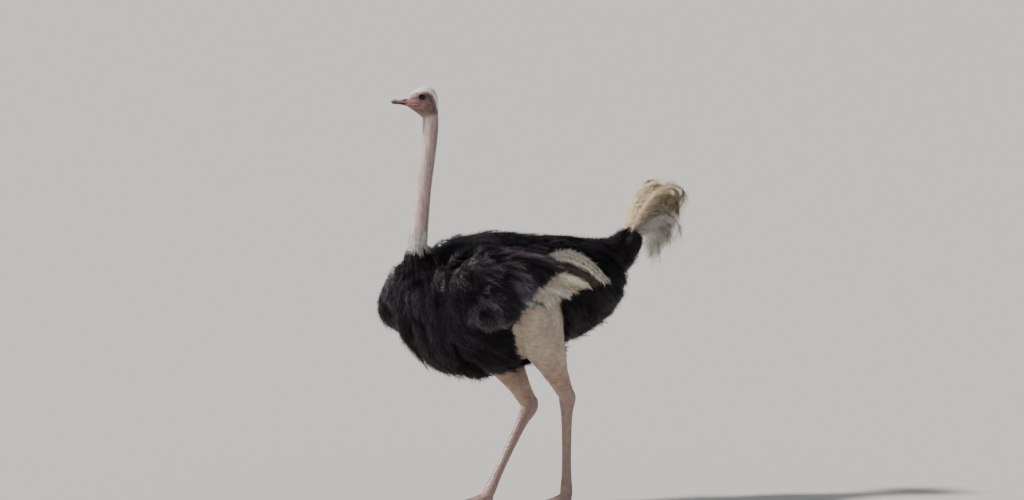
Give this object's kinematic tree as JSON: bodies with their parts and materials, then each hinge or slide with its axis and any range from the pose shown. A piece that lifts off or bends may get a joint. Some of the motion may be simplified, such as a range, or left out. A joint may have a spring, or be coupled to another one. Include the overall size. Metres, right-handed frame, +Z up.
{
  "type": "ostrich",
  "caption": "Life-size still model of a standing male ostrich: long bare neck, black body plumage, pale wing and tail plumes, bare thighs and two-toed feet.",
  "frame": {"origin": "on the ground, under the middle of the model's bounding box", "axes": "+Z up, -Y the way the body faces, +X the bird's left side; the head is turned to its right"},
  "size_m": [0.7608, 1.615, 1.99],
  "materials": {
    "plumage": "matt black plumage with a faint brown sheen",
    "plumes": "soft cream-white plumes",
    "skin": "mauve-grey pink skin under sparse down",
    "crus": "bare pale wrinkled skin",
    "shank": "pinkish grey-brown scaly skin",
    "horn": "worn horn with a dull gloss",
    "eye": "wet dark brown eye"
  },
  "bodies": {
    "root": {"trunk": "plumage", "neck_lower": "plumage", "neck_middle": "skin", "neck_upper": "skin", "head": "skin", "bill_upper": "horn", "bill_lower": "horn", "eye_left": "eye", "eye_right": "eye", "thigh_left": "crus", "shank_left": "shank", "toe_inner_left": "shank", "toe_outer_left": "shank", "claw_left": "horn", "thigh_right": "crus", "shank_right": "shank", "toe_inner_right": "shank", "toe_outer_right": "shank", "claw_right": "horn", "wing_left": "plumage", "wing_plumes_left": "plumes", "wing_right": "plumage", "wing_plumes_right": "plumes", "tail": "plumage", "tail_plumes": "plumes"}
  },
  "joints": []
}
